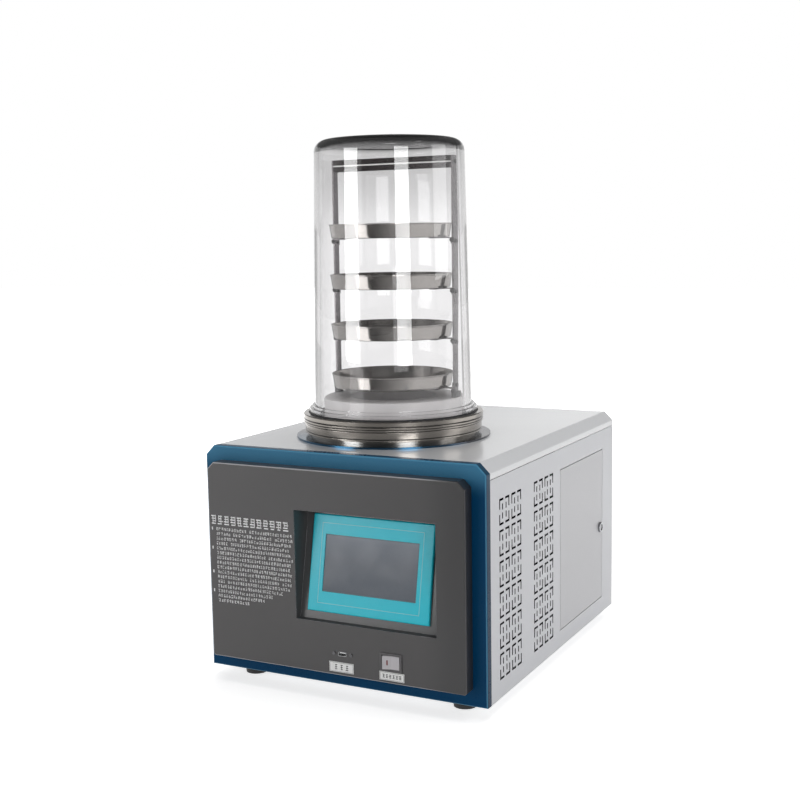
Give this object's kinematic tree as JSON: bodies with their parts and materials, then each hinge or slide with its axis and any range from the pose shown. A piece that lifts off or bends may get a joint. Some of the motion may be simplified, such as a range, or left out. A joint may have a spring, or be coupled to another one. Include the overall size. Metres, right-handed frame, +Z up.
{
  "type": "bench-top freeze dryer",
  "caption": "Bench-top freeze dryer: a refrigerated cabinet with a slanted touch screen and a clear bell cover over a rack of round trays above the cold trap.",
  "frame": {"origin": "middle of the footprint of the whole object, on the ground under the feet", "axes": "+Z up, +X to the right seen from the front, front panel faces -Y"},
  "size_m": [0.501, 0.681, 0.8849],
  "materials": {
    "cabinet_paint": "smooth gloss paint",
    "blue_paint": "gloss paint",
    "panel_paint": "fine textured paint",
    "zinc_steel": "satin zinc plate",
    "stainless": "polished stainless",
    "chrome": "bright chrome plate",
    "copper": "drawn copper",
    "brass": "turned brass",
    "aluminium": "rolled fin stock",
    "clear_cover": "clear moulded plastic",
    "white_plastic": "matte white",
    "teal_plastic": "satin moulded",
    "dark_plastic": "fine texture",
    "rocker_plastic": "smooth",
    "screen": "dark display glass",
    "rubber": "matte",
    "foam": "closed-cell foam",
    "label": "film",
    "black_enamel": "gloss enamel",
    "circuit_board": "solder mask",
    "red_plastic": "smooth"
  },
  "bodies": {
    "cabinet": {"base_pan": "zinc_steel", "base_screws": "zinc_steel", "chamber_cover": "clear_cover", "cold_trap_pot": "stainless", "compressor": "black_enamel", "compressor_grommets": "rubber", "condenser_coil": "copper", "condenser_fins": "aluminium", "control_board": "circuit_board", "cover_screws": "zinc_steel", "data_socket": "zinc_steel", "door_brackets": "zinc_steel", "drain_line": "copper", "drain_valve": "brass", "electrical_plate": "zinc_steel", "evaporator_coil": "copper", "fan_motor": "black_enamel", "fan_shroud": "dark_plastic", "filter_drier": "copper", "front_frame": "blue_paint", "front_panel": "panel_paint", "guide_collar": "white_plastic", "label_plates": "label", "lock_strike": "zinc_steel", "power_inlet": "dark_plastic", "power_supply": "aluminium", "pump_outlet": "dark_plastic", "rack_crossbar": "stainless", "rack_feet": "rubber", "rack_screws": "stainless", "rack_uprights": "stainless", "rear_panel": "cabinet_paint", "refrigerant_pipes": "copper", "rubber_feet": "rubber", "screen_bezel": "teal_plastic", "screen_glass": "screen", "screen_housing": "dark_plastic", "screen_recess": "panel_paint", "seal_plate": "stainless", "seal_ring": "rubber", "side_panel_left": "cabinet_paint", "side_panel_right": "cabinet_paint", "socket_screws": "zinc_steel", "switch_housing": "dark_plastic", "top_cover": "cabinet_paint", "trap_flange": "stainless", "trap_insulation": "foam", "tray_1": "stainless", "tray_2": "stainless", "tray_3": "stainless", "tray_4": "stainless", "tray_brackets": "stainless", "vacuum_line": "stainless"},
    "access_door": {"access_door": "cabinet_paint", "lock_body": "chrome"},
    "door_lock": {"lock_plug": "chrome", "lock_cam": "zinc_steel"},
    "power_rocker": {"power_rocker": "rocker_plastic"},
    "fan_rotor": {"fan_rotor": "dark_plastic"},
    "drain_lever": {"drain_lever": "red_plastic"}
  },
  "joints": [
    {"name": "door_hinge", "type": "hinge", "parent": "cabinet", "child": "access_door", "pos_m": [0.2415, 0.01291, 0.1875], "axis": [0, 0, -1], "range_deg": [0, 105]},
    {"name": "lock_turn", "type": "hinge", "parent": "access_door", "child": "door_lock", "pos_m": [0.2465, 0.21471, 0.1835], "axis": [1, 0, 0], "range_deg": [0, 90]},
    {"name": "rocker_tilt", "type": "hinge", "parent": "cabinet", "child": "power_rocker", "pos_m": [0.0975, -0.33029, 0.0768], "axis": [0, 0, -1], "range_deg": [0, 18]},
    {"name": "fan_spin", "type": "hinge", "parent": "cabinet", "child": "fan_rotor", "pos_m": [0.1653, -0.14584, 0.188], "axis": [1, 0, 0], "continuous": true},
    {"name": "drain_turn", "type": "hinge", "parent": "cabinet", "child": "drain_lever", "pos_m": [0.043, 0.30851, 0.085], "axis": [0, 0, 1], "range_deg": [0, 90]}
  ]
}
